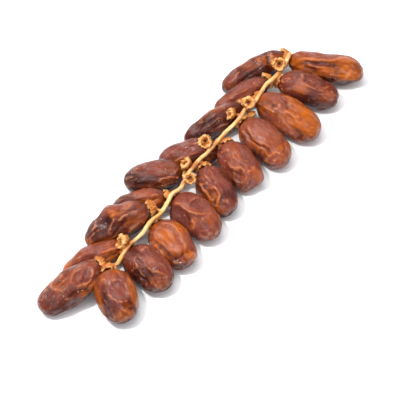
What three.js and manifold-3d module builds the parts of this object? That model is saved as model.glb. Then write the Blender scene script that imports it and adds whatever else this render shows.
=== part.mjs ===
// A bunch of dates still on their fruiting strand, lying on a table.
// Millimetres, +Z up. The strand runs along Y, from its thin tip to its cut end at +Y.
// "Right" is the +X side. The finished group's origin is the middle of its footprint, on the table.
import * as THREE from "three";
import { mergeVertices } from "three/addons/utils/BufferGeometryUtils.js";
import Module from "manifold-3d";

const wasm = await Module();
wasm.setup();

// ---- Driving sizes: millimetres and degrees ----

// Pieces that grow together keep this much air, so that no two solids overlap.
const GAP = 0.3;

const STRAND_RADIUS = 1.4;
const STRAND_SIDES = 8;
const STRAND_STEPS = 66;

// The strand's middle line, [x, y, z], from its tip to its cut end. It zigzags a little from one
// fruit to the next.
const STRAND_ROUTE = [
  [-2, 3, 12.5],
  [-1.5, 8, 15],
  [-1.5, 14, 17],
  [-0.5, 19, 18],
  [0.5, 23, 18.5],
  [1, 27, 18.5],
  [0, 32, 18.5],
  [0, 36.5, 18.5],
  [1.5, 41.5, 18.5],
  [1.5, 47, 18.5],
  [0.5, 54, 18.5],
  [-0.5, 61, 18.5],
  [1.5, 65.5, 18.5],
  [0.5, 71.5, 18.5],
  [-1, 78.5, 18],
  [-1.5, 91.5, 17.5],
  [-0.5, 99, 17.5],
  [0, 113.5, 17.5],
  [0.5, 121.5, 17.5],
  [1.5, 129, 17.5],
  [1.5, 136, 17.5],
  [0.5, 142, 17.5],
  [2.5, 148.5, 17.5],
  [1.5, 161, 17.5],
  [1, 169, 17.5],
  [2.5, 176, 17.5],
  [2.5, 185.5, 17.5],
  [1.5, 192, 17.5],
  [0, 198.5, 17.5],
];

const STALK_RADIUS = 1.0;
const STALK_SIDES = 6;

// How much of a date's underside the table flattens.
const PRESS = 0.4;
const DATE_SIDES = 14;
const DATE_BANDS = 11;

// One date a row: x and y of its stem end, splay (0 points at the strand's tip, 90 to the right),
// droop of its tip, length, breadth, depth, where it is widest (0 stem end, 1 tip), sideways bend,
// and roll about its own axis.
const RIGHT_DATES = [
  [0.8, 198.8, 111.5, 6, 46.5, 19, 18, 0.67, 1.2, 0],
  [6, 179, 104, 9, 36.5, 21, 19, 0.52, 0, 0],
  [2.5, 158.5, 86, 5, 43, 23, 20, 0.58, 0.5, 0],
  [5, 135, 73, 9, 37, 21.5, 19.5, 0.54, -0.5, 0],
  [4.5, 114, 61, 9, 33, 21, 19, 0.56, 0, 0],
  [3.5, 90.5, 58, 9, 32.5, 19.5, 18.5, 0.56, 0, 0],
  [1.5, 62, 78, 10, 33, 21.5, 19, 0.54, 0, 0],
  [2.5, 39, 70, 10, 31, 22, 19, 0.52, 0, 0],
  [-0.5, 15, 78, 10, 30.5, 21.5, 19, 0.52, 0, 0],
  [-2.5, -4, 51, 9, 31.5, 22, 19, 0.52, 0, 0],
];
const LEFT_DATES = [
  [-6.3, 200.7, -26.5, 6, 45.5, 14.5, 15, 0.5, 0, 0],
  [-4, 175, -25, 8, 37.5, 13, 14.5, 0.5, 0, 0],
  [-5.5, 146.5, -25, 8, 41, 14, 15, 0.52, 0, 0],
  [-0.5, 110, -48, 8, 35.5, 17, 16, 0.52, 0, 0],
  [-8.5, 82.5, -53, 8, 34.5, 18.5, 17, 0.52, 0, 0],
  [-6.5, 60.5, -54, 10, 31, 14, 13.5, 0.48, 0, 0],
  [-6.5, 43, -37, 20, 41, 18.5, 17, 0.55, 1, 0],
  [-7.5, 17, -35, 8, 36, 12.5, 13.5, 0.52, 0.5, 0],
  [-10.2, -4, -19, 9, 40.5, 18.5, 17.5, 0.62, 0, 0],
];

// The woody cap that each date hangs from, as an outline turned about its axis, [radius, height]:
// it sits on the date's stem end and narrows towards its stalk.
const CAP_SIDES = 10;
const CAP_OUTLINE = [
  [0, -2.8],
  [1.4, -2.8],
  [2.9, -2],
  [3.8, -0.6],
  [3.6, 0.4],
  [1.8, -0.1],
  [0, -GAP],
];

// The empty cups that lost their dates: outline of a cup of radius 1 with an open hollow.
const CUP_SIDES = 12;
const CUP_OUTLINE = [
  [0, -0.5],
  [0.4, -0.5],
  [0.8, -0.2],
  [1, 0.35],
  [0.9, 0.5],
  [0.7, 0.4],
  [0.5, 0.05],
  [0, -0.05],
];

// One cup a row: x, y and z of its middle, heading (as a date's splay), upward tilt, and radius.
const EMPTY_CUPS = [
  [0, 184.5, 20.5, 32, 55, 4.2],
  [1, 146, 20, 20, 60, 3.7],
  [-4, 134.5, 17.5, -50, 25, 3.7],
  [-5, 105, 19, 10, 60, 4.2],
  [-5.5, 85, 18, -60, 45, 3.6],
  [2.5, 74.5, 20.5, 40, 50, 3.7],
  [-5, 16, 17.5, -35, 35, 4.1],
  [4.5, 143.5, 13.5, 80, -15, 2.6],
];

// ---- Materials ----

const dateSkin = new THREE.MeshStandardMaterial({ color: 0x86432a, roughness: 0.35, metalness: 0 });
const strandWood = new THREE.MeshStandardMaterial({ color: 0xe0b060, roughness: 0.65, metalness: 0 });
const capWood = new THREE.MeshStandardMaterial({ color: 0xc07a34, roughness: 0.6, metalness: 0 });

// ---- Helpers ----

const radians = THREE.MathUtils.degToRad;

// The level direction that a heading names: 0 is towards the strand's tip, 90 to the right.
function levelDirection(heading) {
  return new THREE.Vector3(Math.sin(radians(heading)), -Math.cos(radians(heading)), 0);
}

function solidOf(geometry) {
  const bare = geometry.clone();
  bare.deleteAttribute("normal");
  bare.deleteAttribute("uv");
  const merged = mergeVertices(bare, 1e-4);
  const vertProperties = new Float32Array(merged.attributes.position.array);
  const triVerts = new Uint32Array(merged.index.array);
  return new wasm.Manifold(new wasm.Mesh({ numProp: 3, vertProperties, triVerts }));
}

function geometryOf(solid) {
  const mesh = solid.getMesh();
  const geometry = new THREE.BufferGeometry();
  geometry.setAttribute("position", new THREE.BufferAttribute(mesh.vertProperties, 3));
  geometry.setIndex(new THREE.BufferAttribute(mesh.triVerts, 1));
  geometry.computeVertexNormals();
  return geometry;
}

// How much larger a cap or cup is when it clears room for itself in the strand.
const CLEARANCE = 1.2;

function grown(outline) {
  const heights = outline.map(([, height]) => height);
  const middle = (Math.min(...heights) + Math.max(...heights)) / 2;
  return outline.map(([radius, height]) => [
    radius * CLEARANCE,
    middle + (height - middle) * CLEARANCE,
  ]);
}

function turned(outline, sides) {
  return new THREE.LatheGeometry(
    outline.map(([radius, height]) => new THREE.Vector2(radius, height)),
    sides,
  );
}

// The table that flattens the dates' undersides: a slab whose top is at z = 0.
const slab = new THREE.BoxGeometry(400, 600, 40);
slab.translate(0, 0, -20);
const table = solidOf(slab);

// ---- The strand ----

const route = new THREE.CatmullRomCurve3(
  STRAND_ROUTE.map(([x, y, z]) => new THREE.Vector3(x, y, z)),
);

function nearestOnStrand(point) {
  return route
    .getSpacedPoints(400)
    .reduce((best, at) => (at.distanceTo(point) < best.distanceTo(point) ? at : best));
}

// A short straight stalk from the strand's middle line to the foot of a cap or a cup.
function stalkSolid(foot) {
  const from = nearestOnStrand(foot);
  const reach = foot.clone().sub(from);
  const length = reach.length();
  const stalk = new THREE.CylinderGeometry(STALK_RADIUS, STALK_RADIUS, length, STALK_SIDES);
  stalk.translate(0, length / 2, 0);
  const lean = new THREE.Quaternion().setFromUnitVectors(
    new THREE.Vector3(0, 1, 0),
    reach.normalize(),
  );
  stalk.applyQuaternion(lean);
  stalk.translate(from.x, from.y, from.z);
  return solidOf(stalk);
}

function strandMesh(growths) {
  const section = new THREE.Shape();
  section.absarc(0, 0, STRAND_RADIUS, 0, 2 * Math.PI, false);
  const tube = new THREE.ExtrudeGeometry(section, {
    extrudePath: route,
    steps: STRAND_STEPS,
    curveSegments: STRAND_SIDES / 2,
    bevelEnabled: false,
  });
  const whole = growths.reduce((solid, { foot }) => solid.add(stalkSolid(foot)), solidOf(tube));
  const clear = growths.reduce((solid, { room }) => solid.subtract(solidOf(room)), whole);
  const mesh = new THREE.Mesh(geometryOf(clear), strandWood);
  mesh.name = "fruiting_strand";
  return mesh;
}

// ---- Dates and their caps ----

// A plump date along Y, its stem end at the origin and its tip at +Y: a squarish ellipsoid whose
// widest place and sideways bend can be set.
const FULLNESS = 2.4;

function dateShape(length, breadth, depth, widest, bend) {
  const outline = [];
  for (let band = 0; band <= DATE_BANDS; band += 1) {
    const angle = (Math.PI * band) / DATE_BANDS;
    const radius = Math.abs(Math.sin(angle)) ** (2 / FULLNESS);
    const along = -Math.sign(Math.cos(angle)) * Math.abs(Math.cos(angle)) ** (2 / FULLNESS);
    const half = along < 0 ? widest : 1 - widest;
    outline.push([band % DATE_BANDS === 0 ? 0 : radius, (widest + along * half) * length]);
  }
  const shape = turned(outline, DATE_SIDES);
  shape.scale(breadth / 2, 1, depth / 2);
  const points = shape.attributes.position;
  for (let i = 0; i < points.count; i += 1) {
    const share = points.getY(i) / length;
    points.setX(i, points.getX(i) + bend * 4 * share * (1 - share));
  }
  return shape;
}

// The turn that lays a date or cap on its heading, its tip drooping.
function lay(heading, droop, roll) {
  const turn = new THREE.Matrix4().makeRotationZ(Math.PI + radians(heading));
  turn.multiply(new THREE.Matrix4().makeRotationX(-radians(droop)));
  return turn.multiply(new THREE.Matrix4().makeRotationY(radians(roll)));
}

// A mesh in the bunch's frame, held at the anchor that its position names.
function held(name, geometry, anchor, material) {
  geometry.translate(-anchor.x, -anchor.y, -anchor.z);
  const mesh = new THREE.Mesh(geometry, material);
  mesh.name = name;
  mesh.position.copy(anchor);
  return mesh;
}

// The date and its cap, and where the cap's stalk comes in.
function dateAndCap(name, [x, y, heading, droop, length, breadth, depth, widest, bend, roll]) {
  const turn = lay(heading, droop, roll);
  const shape = dateShape(length, breadth, depth, widest, bend).applyMatrix4(turn);
  shape.computeBoundingBox();
  const stemEnd = new THREE.Vector3(x, y, -PRESS - shape.boundingBox.min.z);
  shape.translate(stemEnd.x, stemEnd.y, stemEnd.z);
  const date = geometryOf(solidOf(shape).subtract(table));

  const cap = turned(CAP_OUTLINE, CAP_SIDES).applyMatrix4(turn);
  cap.translate(stemEnd.x, stemEnd.y, stemEnd.z);
  const room = turned(grown(CAP_OUTLINE), CAP_SIDES).applyMatrix4(turn);
  room.translate(stemEnd.x, stemEnd.y, stemEnd.z);
  return {
    meshes: [
      held(`date_${name}`, date, stemEnd.clone(), dateSkin),
      held(`cap_${name}`, cap, stemEnd.clone(), capWood),
    ],
    foot: new THREE.Vector3(0, CAP_OUTLINE[0][1], 0).applyMatrix4(turn).add(stemEnd),
    room,
  };
}

// ---- Empty cups ----

function emptyCup(name, [x, y, z, heading, tilt, radius]) {
  const facing = levelDirection(heading).multiplyScalar(Math.cos(radians(tilt)));
  facing.z = Math.sin(radians(tilt));
  const mesh = new THREE.Mesh(turned(CUP_OUTLINE, CUP_SIDES), capWood);
  mesh.name = name;
  mesh.scale.setScalar(radius);
  mesh.position.set(x, y, z);
  mesh.quaternion.setFromUnitVectors(new THREE.Vector3(0, 1, 0), facing);
  mesh.updateMatrix();
  return {
    meshes: [mesh],
    foot: new THREE.Vector3(0, CUP_OUTLINE[0][1], 0).applyMatrix4(mesh.matrix),
    room: turned(grown(CUP_OUTLINE), CUP_SIDES).applyMatrix4(mesh.matrix),
  };
}

// ---- The bunch ----

const twoDigits = (index) => String(index + 1).padStart(2, "0");
const fruit = [
  ...RIGHT_DATES.map((row, i) => dateAndCap(`right_${twoDigits(i)}`, row)),
  ...LEFT_DATES.map((row, i) => dateAndCap(`left_${twoDigits(i)}`, row)),
  ...EMPTY_CUPS.map((row, i) => emptyCup(`empty_cup_${twoDigits(i)}`, row)),
];

const bunch = new THREE.Group();
bunch.add(strandMesh(fruit));
fruit.forEach((piece) => bunch.add(...piece.meshes));

const footprint = new THREE.Box3().setFromObject(bunch);
const middle = footprint.getCenter(new THREE.Vector3());
bunch.position.set(-middle.x, -middle.y, 0);

export default bunch;
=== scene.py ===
"""The looks of a bunch of dates that lies on a pale table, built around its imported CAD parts.

Each date is a closed skin drawn over its CAD solid and then pinched, dented and creased.
The dried caps and the empty cups are lobed rings of husk, and the strand is a woody twig.
"""

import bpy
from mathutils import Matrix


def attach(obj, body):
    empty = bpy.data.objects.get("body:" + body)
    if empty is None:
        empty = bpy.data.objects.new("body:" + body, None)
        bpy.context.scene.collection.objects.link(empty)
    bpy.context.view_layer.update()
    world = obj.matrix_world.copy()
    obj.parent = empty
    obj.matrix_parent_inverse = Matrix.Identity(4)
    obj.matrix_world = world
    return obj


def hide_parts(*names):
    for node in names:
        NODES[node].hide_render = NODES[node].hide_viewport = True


bl_info = {
    "name": "Date bunch",
    "version": (1, 0, 0),
    "blender": (4, 5, 0),
    "location": "3D View > Sidebar > Dates",
    "description": "Builds the skins, caps and strand of a bunch of dates and its table",
    "category": "Object",
}

import math
import random

import bmesh
import bpy
import numpy as np
from bpy.props import FloatProperty, FloatVectorProperty, IntProperty, PointerProperty
from mathutils import Matrix, Vector, noise
from mathutils.bvhtree import BVHTree

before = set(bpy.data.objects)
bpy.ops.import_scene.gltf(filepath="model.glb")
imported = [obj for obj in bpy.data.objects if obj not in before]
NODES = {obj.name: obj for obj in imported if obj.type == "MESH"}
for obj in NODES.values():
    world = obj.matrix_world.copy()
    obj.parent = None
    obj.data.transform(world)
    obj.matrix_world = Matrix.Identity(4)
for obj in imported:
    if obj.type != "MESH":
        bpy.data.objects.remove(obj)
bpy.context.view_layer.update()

MM = 0.001

DATES = sorted(name for name in NODES if name.startswith("date_"))
CAPS = sorted(name for name in NODES if name.startswith("cap_"))
CUPS = sorted(name for name in NODES if name.startswith("empty_cup_"))
STRAND = "fruiting_strand"

# The side of every date that lies open, up and towards the front of the bunch.
OPEN_SIDE = Vector((0.338, -0.547, 0.766))

# How strongly marks shape the skin: widths and rises below are multiplied by these.
FOLD_SPREAD = 1.5
FOLD_RISE = 1.2
DENT_RIM = 0.6
DENT_DEPTH = 0.8
FACET_REACH = 1.15
FACET_DEPTH = 1.35
FACET_FLATNESS = 0.9
# Roundness of a fold's top and how far its lines stray, in millimetres, and the share of a fold
# over which each end fades.
FOLD_TOP = 0.18
LINE_SWAY = 0.9
FOLD_END = 0.22
# Further off than any point of a date, in millimetres.
FAR = 1e3
# How far a cap sits back from its solid's middle, in millimetres.
CAP_DRAW_BACK = 1.5

# ---- Marks on the dates ----
#
# A mark sits at (along, across) on the open side of its date. Along runs from 0 at the cap to
# 1 at the tip, and across from -1 to 1. Sizes are in millimetres.
#   ("fold", points, width, rise)            a ridge, or a crease where rise is below 0
#   ("dent", middle, radii, turn, depth, rim)  a sunk oval with a raised edge
#   ("facet", middle, radius, depth)         a flattened cheek
#   ("swell", middle, radii, turn, rise)     a broad bulge, or a hollow where rise is below 0
#   ("patch", middle, radii, turn, skin, strength)  where a skin colour gathers
# Most of these positions are numbers worked out by another script, and not chosen by hand.
MARKS = {
    "date_left_01": [
        ("fold", [(0.18, -0.71), (0.19, -0.25), (0.25, 0.17)], 0.9, 1.0),
        ("fold", [(0.25, -0.71), (0.26, -0.26), (0.32, 0.16)], 0.9, -0.8),
        ("fold", [(0.3, -0.76), (0.51, -0.71), (0.74, -0.44), (0.89, -0.05)], 1.1, 0.6),
        ("fold", [(0.31, -0.11), (0.52, 0.01), (0.74, 0.27), (0.84, 0.39)], 0.8, -0.7),
        ("fold", [(0.39, -0.61), (0.59, -0.44), (0.81, -0.06)], 0.7, -0.5),
        ("facet", (0.56, -0.68), 7, 0.7),
        ("patch", (0.41, -0.45), (9, 3), 0, "amber_and_glow", 0.5),
        ("patch", (0.82, -0.1), (6, 5), 0, "bloom_and_sheen", 0.6),
        ("patch", (0.61, 0.22), (14, 3), 0, "shade", 0.7),
    ],
    "date_left_02": [
        ("fold", [(0.12, 0.21), (0.33, -0.21), (0.58, -0.36), (0.85, -0.29)], 0.9, 0.8),
        ("fold", [(0.11, 0.61), (0.35, 0.29), (0.61, 0.08), (0.85, 0.12)], 0.8, -0.8),
        ("fold", [(0.23, 0.41), (0.49, 0.26), (0.74, 0.18)], 0.7, 0.6),
        ("fold", [(0.19, 0.02), (0.43, -0.42), (0.71, -0.47)], 0.7, -0.5),
        ("patch", (0.49, -0.15), (16, 4), 0, "bloom_and_sheen", 1.0),
        ("patch", (0.43, 0.73), (14, 2), 0, "shade", 0.6),
        ("patch", (0.79, -0.43), (6, 3), 0, "amber_and_glow", 0.5),
    ],
    "date_left_03": [
        ("fold", [(0.15, -0.64), (0.33, -0.89), (0.53, -0.95), (0.76, -0.65)], 0.9, 0.9),
        ("fold", [(0.2, -0.21), (0.4, -0.38), (0.63, -0.33), (0.78, -0.14)], 0.8, -0.9),
        ("fold", [(0.32, -0.11), (0.5, -0.19), (0.66, -0.04)], 0.8, 0.8),
        ("fold", [(0.23, 0.39), (0.41, 0.39), (0.63, 0.36)], 0.8, -0.6),
        ("fold", [(0.28, 0.6), (0.5, 0.57), (0.69, 0.44)], 0.8, 0.7),
        ("patch", (0.47, -0.91), (12, 2.5), 0, "amber_and_glow", 0.6),
        ("patch", (0.61, -0.17), (12, 5), 0, "shade", 0.8),
        ("patch", (0.29, -0.65), (8, 3), 0, "bloom_and_sheen", 0.5),
    ],
    "date_left_04": [
        ("fold", [(0.18, -0.6), (0.42, -0.69), (0.68, -0.5), (0.91, -0.15)], 1.0, 0.8),
        ("fold", [(0.19, -0.15), (0.41, -0.22), (0.67, -0.04), (0.86, 0.21)], 0.9, -0.8),
        ("fold", [(0.29, -0.02), (0.53, 0.03), (0.79, 0.21)], 0.8, 0.7),
        ("fold", [(0.33, -0.52), (0.57, -0.47)], 0.7, -0.5),
        ("patch", (0.56, -0.45), (14, 4), 0, "bloom_and_sheen", 0.9),
        ("patch", (0.72, 0.21), (10, 2.5), 0, "amber_and_glow", 0.8),
        ("patch", (0.4, 0.46), (7, 3), 0, "shade", 0.7),
    ],
    "date_left_05": [
        ("fold", [(0.01, 0.07), (0.12, -0.15), (0.34, -0.43), (0.57, -0.73)], 0.9, 0.6),
        ("fold", [(0.02, 0.35), (0.09, 0.21), (0.27, 0.22), (0.46, 0.44)], 0.9, 0.9),
        ("fold", [(0.02, 0.25), (0.18, 0.08), (0.4, 0.21)], 0.8, -0.9),
        ("fold", [(0.5, -0.88), (0.68, -0.73), (0.85, -0.3)], 1.0, 0.8),
        ("fold", [(0.47, -0.52), (0.66, -0.3), (0.8, 0.21)], 0.9, -0.8),
        ("fold", [(0.21, 0.61), (0.43, 0.73), (0.63, 0.66)], 0.9, 0.6),
        ("facet", (0.25, -0.44), 7, 0.7),
        ("patch", (0.23, -0.43), (10, 4), 0, "amber_and_glow", 0.4),
        ("patch", (0.69, -0.33), (9, 7), 0, "shade", 0.7),
        ("patch", (0.18, 0.63), (8, 3), 0, "amber_and_glow", 0.5),
        ("patch", (0.5, -0.68), (10, 4), 0, "bloom_and_sheen", 0.7),
    ],
    "date_left_06": [
        ("fold", [(0.04, -0.39), (0.14, -0.45), (0.33, -0.44), (0.58, -0.39)], 0.9, 0.9),
        ("fold", [(0.06, -0.12), (0.29, -0.05), (0.48, 0.04)], 0.8, -0.8),
        ("fold", [(0.42, -0.77), (0.66, -0.62), (0.91, -0.39)], 0.9, 0.7),
        ("patch", (0.23, -0.61), (9, 2.5), 0, "bloom_and_sheen", 0.8),
        ("patch", (0.25, -0.02), (8, 2), 0, "amber_and_glow", 0.5),
        ("patch", (0.82, -0.5), (10, 4), 0, "shade", 0.8),
    ],
    "date_left_07": [
        ("swell", (0.5, -1.0), (9, 7), 0, 2.8),
        ("fold", [(0.02, -0.19), (0.15, -0.68), (0.34, -0.93), (0.52, -1.0)], 1.1, 0.9),
        ("fold", [(0.07, 0.04), (0.2, -0.17), (0.32, -0.25), (0.45, -0.08)], 1.0, 1.1),
        ("fold", [(0.07, -0.25), (0.23, -0.52), (0.42, -0.87)], 0.9, -1.0),
        ("fold", [(0.29, -0.01), (0.45, 0.29), (0.62, 0.6)], 1.0, -1.0),
        ("fold", [(0.53, -1.0), (0.68, -0.87), (0.84, -0.18)], 1.0, 0.8),
        ("fold", [(0.49, -0.82), (0.61, -0.27), (0.73, 0.31)], 0.9, -0.8),
        ("fold", [(0.07, 0.56), (0.25, 0.69), (0.45, 0.76)], 1.0, 0.7),
        ("fold", [(0.42, -0.51), (0.55, -0.11), (0.66, 0.36)], 0.8, 0.6),
        ("facet", (0.23, 0.35), 6, 0.7),
        ("patch", (0.34, -0.67), (8, 2), 0, "amber_and_glow", 1.0),
        ("patch", (0.34, -0.93), (12, 2.5), 0, "bloom_and_sheen", 0.9),
        ("patch", (0.73, -0.41), (8, 9), 0, "shade", 0.8),
        ("patch", (0.21, 0.5), (6, 5), 0, "amber_and_glow", 0.5),
        ("patch", (0.96, 0.11), (4, 3), 0, "amber_and_glow", 0.8),
        ("patch", (0.55, 0.04), (4, 8), 0, "shade", 0.4),
    ],
    "date_left_08": [
        ("swell", (0.55, -1.0), (11, 6), 0, 1.6),
        ("fold", [(0.01, 0.13), (0.2, -0.15), (0.39, -0.22)], 0.9, 1.0),
        ("fold", [(0.07, 0.38), (0.26, 0.3), (0.41, 0.5)], 0.9, -1.0),
        ("fold", [(0.39, -0.42), (0.58, -0.61), (0.8, -0.47)], 0.9, 0.7),
        ("fold", [(0.45, -0.09), (0.66, -0.12), (0.85, -0.02)], 0.9, -0.7),
        ("patch", (0.28, 0.35), (6, 4), 0, "amber_and_glow", 0.9),
        ("patch", (0.56, -0.46), (10, 4), 0, "bloom_and_sheen", 0.9),
        ("patch", (0.95, -0.27), (4, 4), 0, "amber_and_glow", 0.8),
        ("patch", (0.74, 0.07), (8, 3), 0, "shade", 0.5),
    ],
    "date_left_09": [
        ("dent", (0.29, -0.11), (7, 4.2), 5, 0.9, 0.5),
        ("fold", [(0.02, -0.01), (0.18, -0.31), (0.33, -0.53), (0.47, -0.32)], 0.7, 0.6),
        ("fold", [(0.12, -0.03), (0.22, 0.43), (0.37, 0.39), (0.49, 0.09)], 0.7, 0.7),
        ("fold", [(0.22, -0.28), (0.33, -0.09), (0.43, 0.06)], 0.6, 0.4),
        ("dent", (0.58, -0.47), (4.5, 2.6), 0, 0.5, 0.1),
        ("fold", [(0.29, 0.79), (0.43, 0.51), (0.59, 0.42)], 0.9, -0.9),
        ("fold", [(0.45, -0.77), (0.6, -0.86), (0.77, -0.71)], 0.9, 0.8),
        ("fold", [(0.71, -0.84), (0.82, -0.64), (0.89, -0.29)], 0.8, -0.8),
        ("fold", [(0.76, -0.94), (0.87, -0.66), (0.94, -0.35)], 0.7, 0.5),
        ("fold", [(0.1, 0.6), (0.34, 0.93), (0.59, 0.92)], 1.0, 0.8),
        ("fold", [(0.72, 0.32), (0.58, 0.6), (0.43, 0.78)], 0.9, 0.5),
        ("patch", (0.6, -0.46), (5, 3), 0, "amber_and_glow", 0.6),
        ("patch", (0.35, 0.69), (7, 2.5), 0, "amber_and_glow", 1.0),
        ("patch", (0.12, -0.2), (9, 3), 0, "bloom_and_sheen", 0.9),
        ("patch", (0.86, -0.44), (4, 6), 0, "shade", 0.8),
        ("patch", (0.38, -0.28), (6, 4), 0, "bloom_and_sheen", 0.6),
        ("patch", (0.7, 0.58), (12, 3), 0, "shade", 0.6),
    ],
    "date_right_01": [
        ("swell", (0.75, 0.9), (16, 8), 0, 1.2),
        ("swell", (0.2, 1.0), (12, 7), 0, -0.5),
        ("swell", (0.95, -0.9), (14, 7), 0, -1.8),
        ("fold", [(0.01, -0.02), (0.19, 0.18), (0.46, 0.42), (0.72, 0.7), (0.9, 0.66)], 1.0, 1.3),
        ("fold", [(0.13, -0.09), (0.37, 0.17), (0.55, 0.42)], 0.8, -0.6),
        ("fold", [(0.18, -0.22), (0.28, -0.3), (0.38, -0.4)], 0.8, -0.9),
        ("fold", [(0.21, -0.08), (0.31, -0.1), (0.41, -0.2)], 0.8, 0.6),
        ("fold", [(0.42, -0.85), (0.58, -0.82), (0.75, -0.53), (0.9, 0.13)], 1.0, 0.7),
        ("dent", (0.65, -0.02), (9, 3.5), 0, 0.7, 0.2),
        ("patch", (0.13, -0.05), (8, 2.5), 0, "amber_and_glow", 0.9),
        ("patch", (0.5, 0.48), (20, 1.8), 10, "amber_and_glow", 1.0),
        ("patch", (0.68, -0.15), (12, 5), 0, "amber_and_glow", 0.9),
        ("patch", (0.4, 0.12), (12, 1.6), 8, "shade", 0.8),
        ("patch", (0.65, -0.82), (14, 3), 0, "shade", 0.8),
        ("patch", (0.38, 0.7), (14, 2), 0, "bloom_and_sheen", 0.8),
    ],
    "date_right_02": [
        ("dent", (0.53, 0.64), (9, 4.4), 8, 1.5, 1.0),
        ("fold", [(0.25, 0.88), (0.34, 0.38), (0.52, 0.14), (0.67, 0.08), (0.78, 0.3)], 0.7, 0.6),
        ("fold", [(0.4, 0.95), (0.61, 0.97), (0.81, 0.85), (0.91, 0.66)], 0.7, 0.4),
        ("fold", [(0.48, 0.64), (0.62, 0.63), (0.75, 0.46)], 0.7, -0.5),
        ("fold", [(0.4, 0.68), (0.57, 0.41)], 0.6, 0.4),
        ("fold", [(0.01, -0.2), (0.04, 0.09), (0.15, 0.28)], 0.9, 0.6),
        ("fold", [(0.03, -0.4), (0.16, -0.24), (0.25, 0.13)], 0.9, -0.6),
        ("fold", [(0.82, 0.43), (0.91, 0.29), (0.98, 0.2)], 0.7, 0.5),
        ("patch", (0.35, -0.08), (5, 4), 0, "amber_and_glow", 0.8),
        ("patch", (0.83, 0.03), (4, 3), 0, "amber_and_glow", 0.8),
        ("patch", (0.67, -0.25), (10, 4), 0, "shade", 0.5),
        ("patch", (0.61, -0.71), (14, 3), 0, "shade", 0.9),
        ("patch", (0.12, 0.18), (7, 4), 0, "bloom_and_sheen", 0.7),
        ("patch", (0.5, 0.53), (7, 3), 0, "bloom_and_sheen", 0.9),
    ],
    "date_right_03": [
        ("fold", [(0.14, -0.23), (0.25, -0.29), (0.37, -0.29)], 0.9, 0.8),
        ("fold", [(0.25, 0.86), (0.39, 0.55), (0.49, 0.26)], 0.8, -0.9),
        ("fold", [(0.45, 0.09), (0.55, 0.2), (0.64, 0.12), (0.7, 0.35)], 0.9, 0.9),
        ("fold", [(0.25, 0.75), (0.37, 0.91), (0.5, 0.91)], 0.9, 0.6),
        ("dent", (0.32, 0.05), (4, 3), 0, 0.5, 0.0),
        ("fold", [(0.33, -0.17), (0.36, 0.09), (0.34, 0.4)], 0.7, 0.7),
        ("fold", [(0.3, -0.87), (0.48, -0.84), (0.65, -0.79), (0.79, -0.67)], 1.0, 0.7),
        ("fold", [(0.68, -0.45), (0.81, -0.49), (0.89, -0.68)], 1.2, -0.8),
        ("facet", (0.68, 0.37), 9, 0.6),
        ("dent", (0.61, -0.22), (6, 3), -20, 0.5, 0.3),
        ("patch", (0.7, 0.22), (9, 9), 0, "amber_and_glow", 0.65),
        ("patch", (0.9, 0.04), (6, 6), 0, "amber_and_glow", 0.6),
        ("patch", (0.55, 0.12), (4, 3), 0, "amber_and_glow", 0.7),
        ("patch", (0.48, -0.84), (5, 2), 0, "amber_and_glow", 0.9),
        ("patch", (0.32, -0.69), (6, 3), 0, "bloom_and_sheen", 0.9),
        ("patch", (0.6, -0.78), (9, 3), 0, "bloom_and_sheen", 0.8),
        ("patch", (0.17, 0.62), (8, 3), 0, "bloom_and_sheen", 0.8),
        ("patch", (0.91, -0.46), (9, 2), 0, "shade", 0.5),
    ],
    "date_right_04": [
        ("fold", [(0.14, -0.02), (0.28, -0.28), (0.44, -0.36), (0.61, -0.19), (0.79, -0.06)], 1.0, 1.1),
        ("fold", [(0.17, -0.35), (0.32, -0.48), (0.47, -0.48), (0.66, -0.27), (0.78, -0.18)], 0.9, -1.2),
        ("fold", [(0.76, -0.47), (0.8, -0.04), (0.89, 0.29)], 0.9, 0.8),
        ("fold", [(0.09, -0.48), (0.25, -0.52), (0.34, -0.68)], 0.8, 0.5),
        ("fold", [(0.16, -0.73), (0.29, -0.76)], 0.7, -0.7),
        ("fold", [(0.63, 0.99), (0.81, 0.72), (0.92, 0.25)], 0.8, -0.8),
        ("fold", [(0.7, -0.87), (0.85, -0.66), (0.93, -0.13)], 0.9, 0.6),
        ("dent", (0.67, -0.68), (4, 3), 0, 0.8, 0.3),
        ("patch", (0.54, -0.56), (7, 2.5), 10, "amber_and_glow", 0.9),
        ("patch", (0.88, 0.07), (4, 2.5), 0, "amber_and_glow", 0.9),
        ("patch", (0.82, 0.63), (2, 6), 0, "amber_and_glow", 0.8),
        ("patch", (0.31, 0.49), (10, 5), 0, "bloom_and_sheen", 0.5),
        ("patch", (0.91, -0.29), (5, 3), 0, "bloom_and_sheen", 0.9),
        ("patch", (0.51, 0.35), (8, 6), 0, "amber_and_glow", 0.4),
        ("patch", (0.42, -0.96), (8, 3), 0, "shade", 0.5),
        ("patch", (0.69, -0.91), (9, 3), 0, "shade", 0.6),
    ],
    "date_right_05": [
        ("swell", (1.0, 0.0), (6, 6), 0, -1.4),
        ("swell", (0.9, 0.8), (6, 5), 0, 1.0),
        ("swell", (0.9, -0.8), (6, 5), 0, 0.8),
        ("fold", [(0.31, -0.46), (0.54, -0.53), (0.67, -0.12), (0.81, 0.07)], 0.9, 0.9),
        ("fold", [(0.52, -0.73), (0.68, -0.44), (0.8, -0.11)], 0.9, -1.0),
        ("fold", [(0.68, 0.5), (0.81, 0.33), (0.92, 0.21)], 0.8, -0.8),
        ("fold", [(0.81, 0.07), (0.8, 0.41), (0.72, 0.77)], 0.8, 0.7),
        ("dent", (0.8, -0.4), (5, 3.2), 0, 1.1, 0.4),
        ("fold", [(0.84, -0.68), (0.91, -0.23), (0.97, -0.12)], 0.8, 0.7),
        ("fold", [(0.38, -0.14), (0.54, -0.03), (0.67, 0.27)], 0.6, -0.6),
        ("fold", [(0.38, 0.12), (0.54, 0.31), (0.62, 0.59)], 0.6, 0.5),
        ("fold", [(0.24, -0.04), (0.39, -0.17)], 0.6, -0.6),
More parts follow.
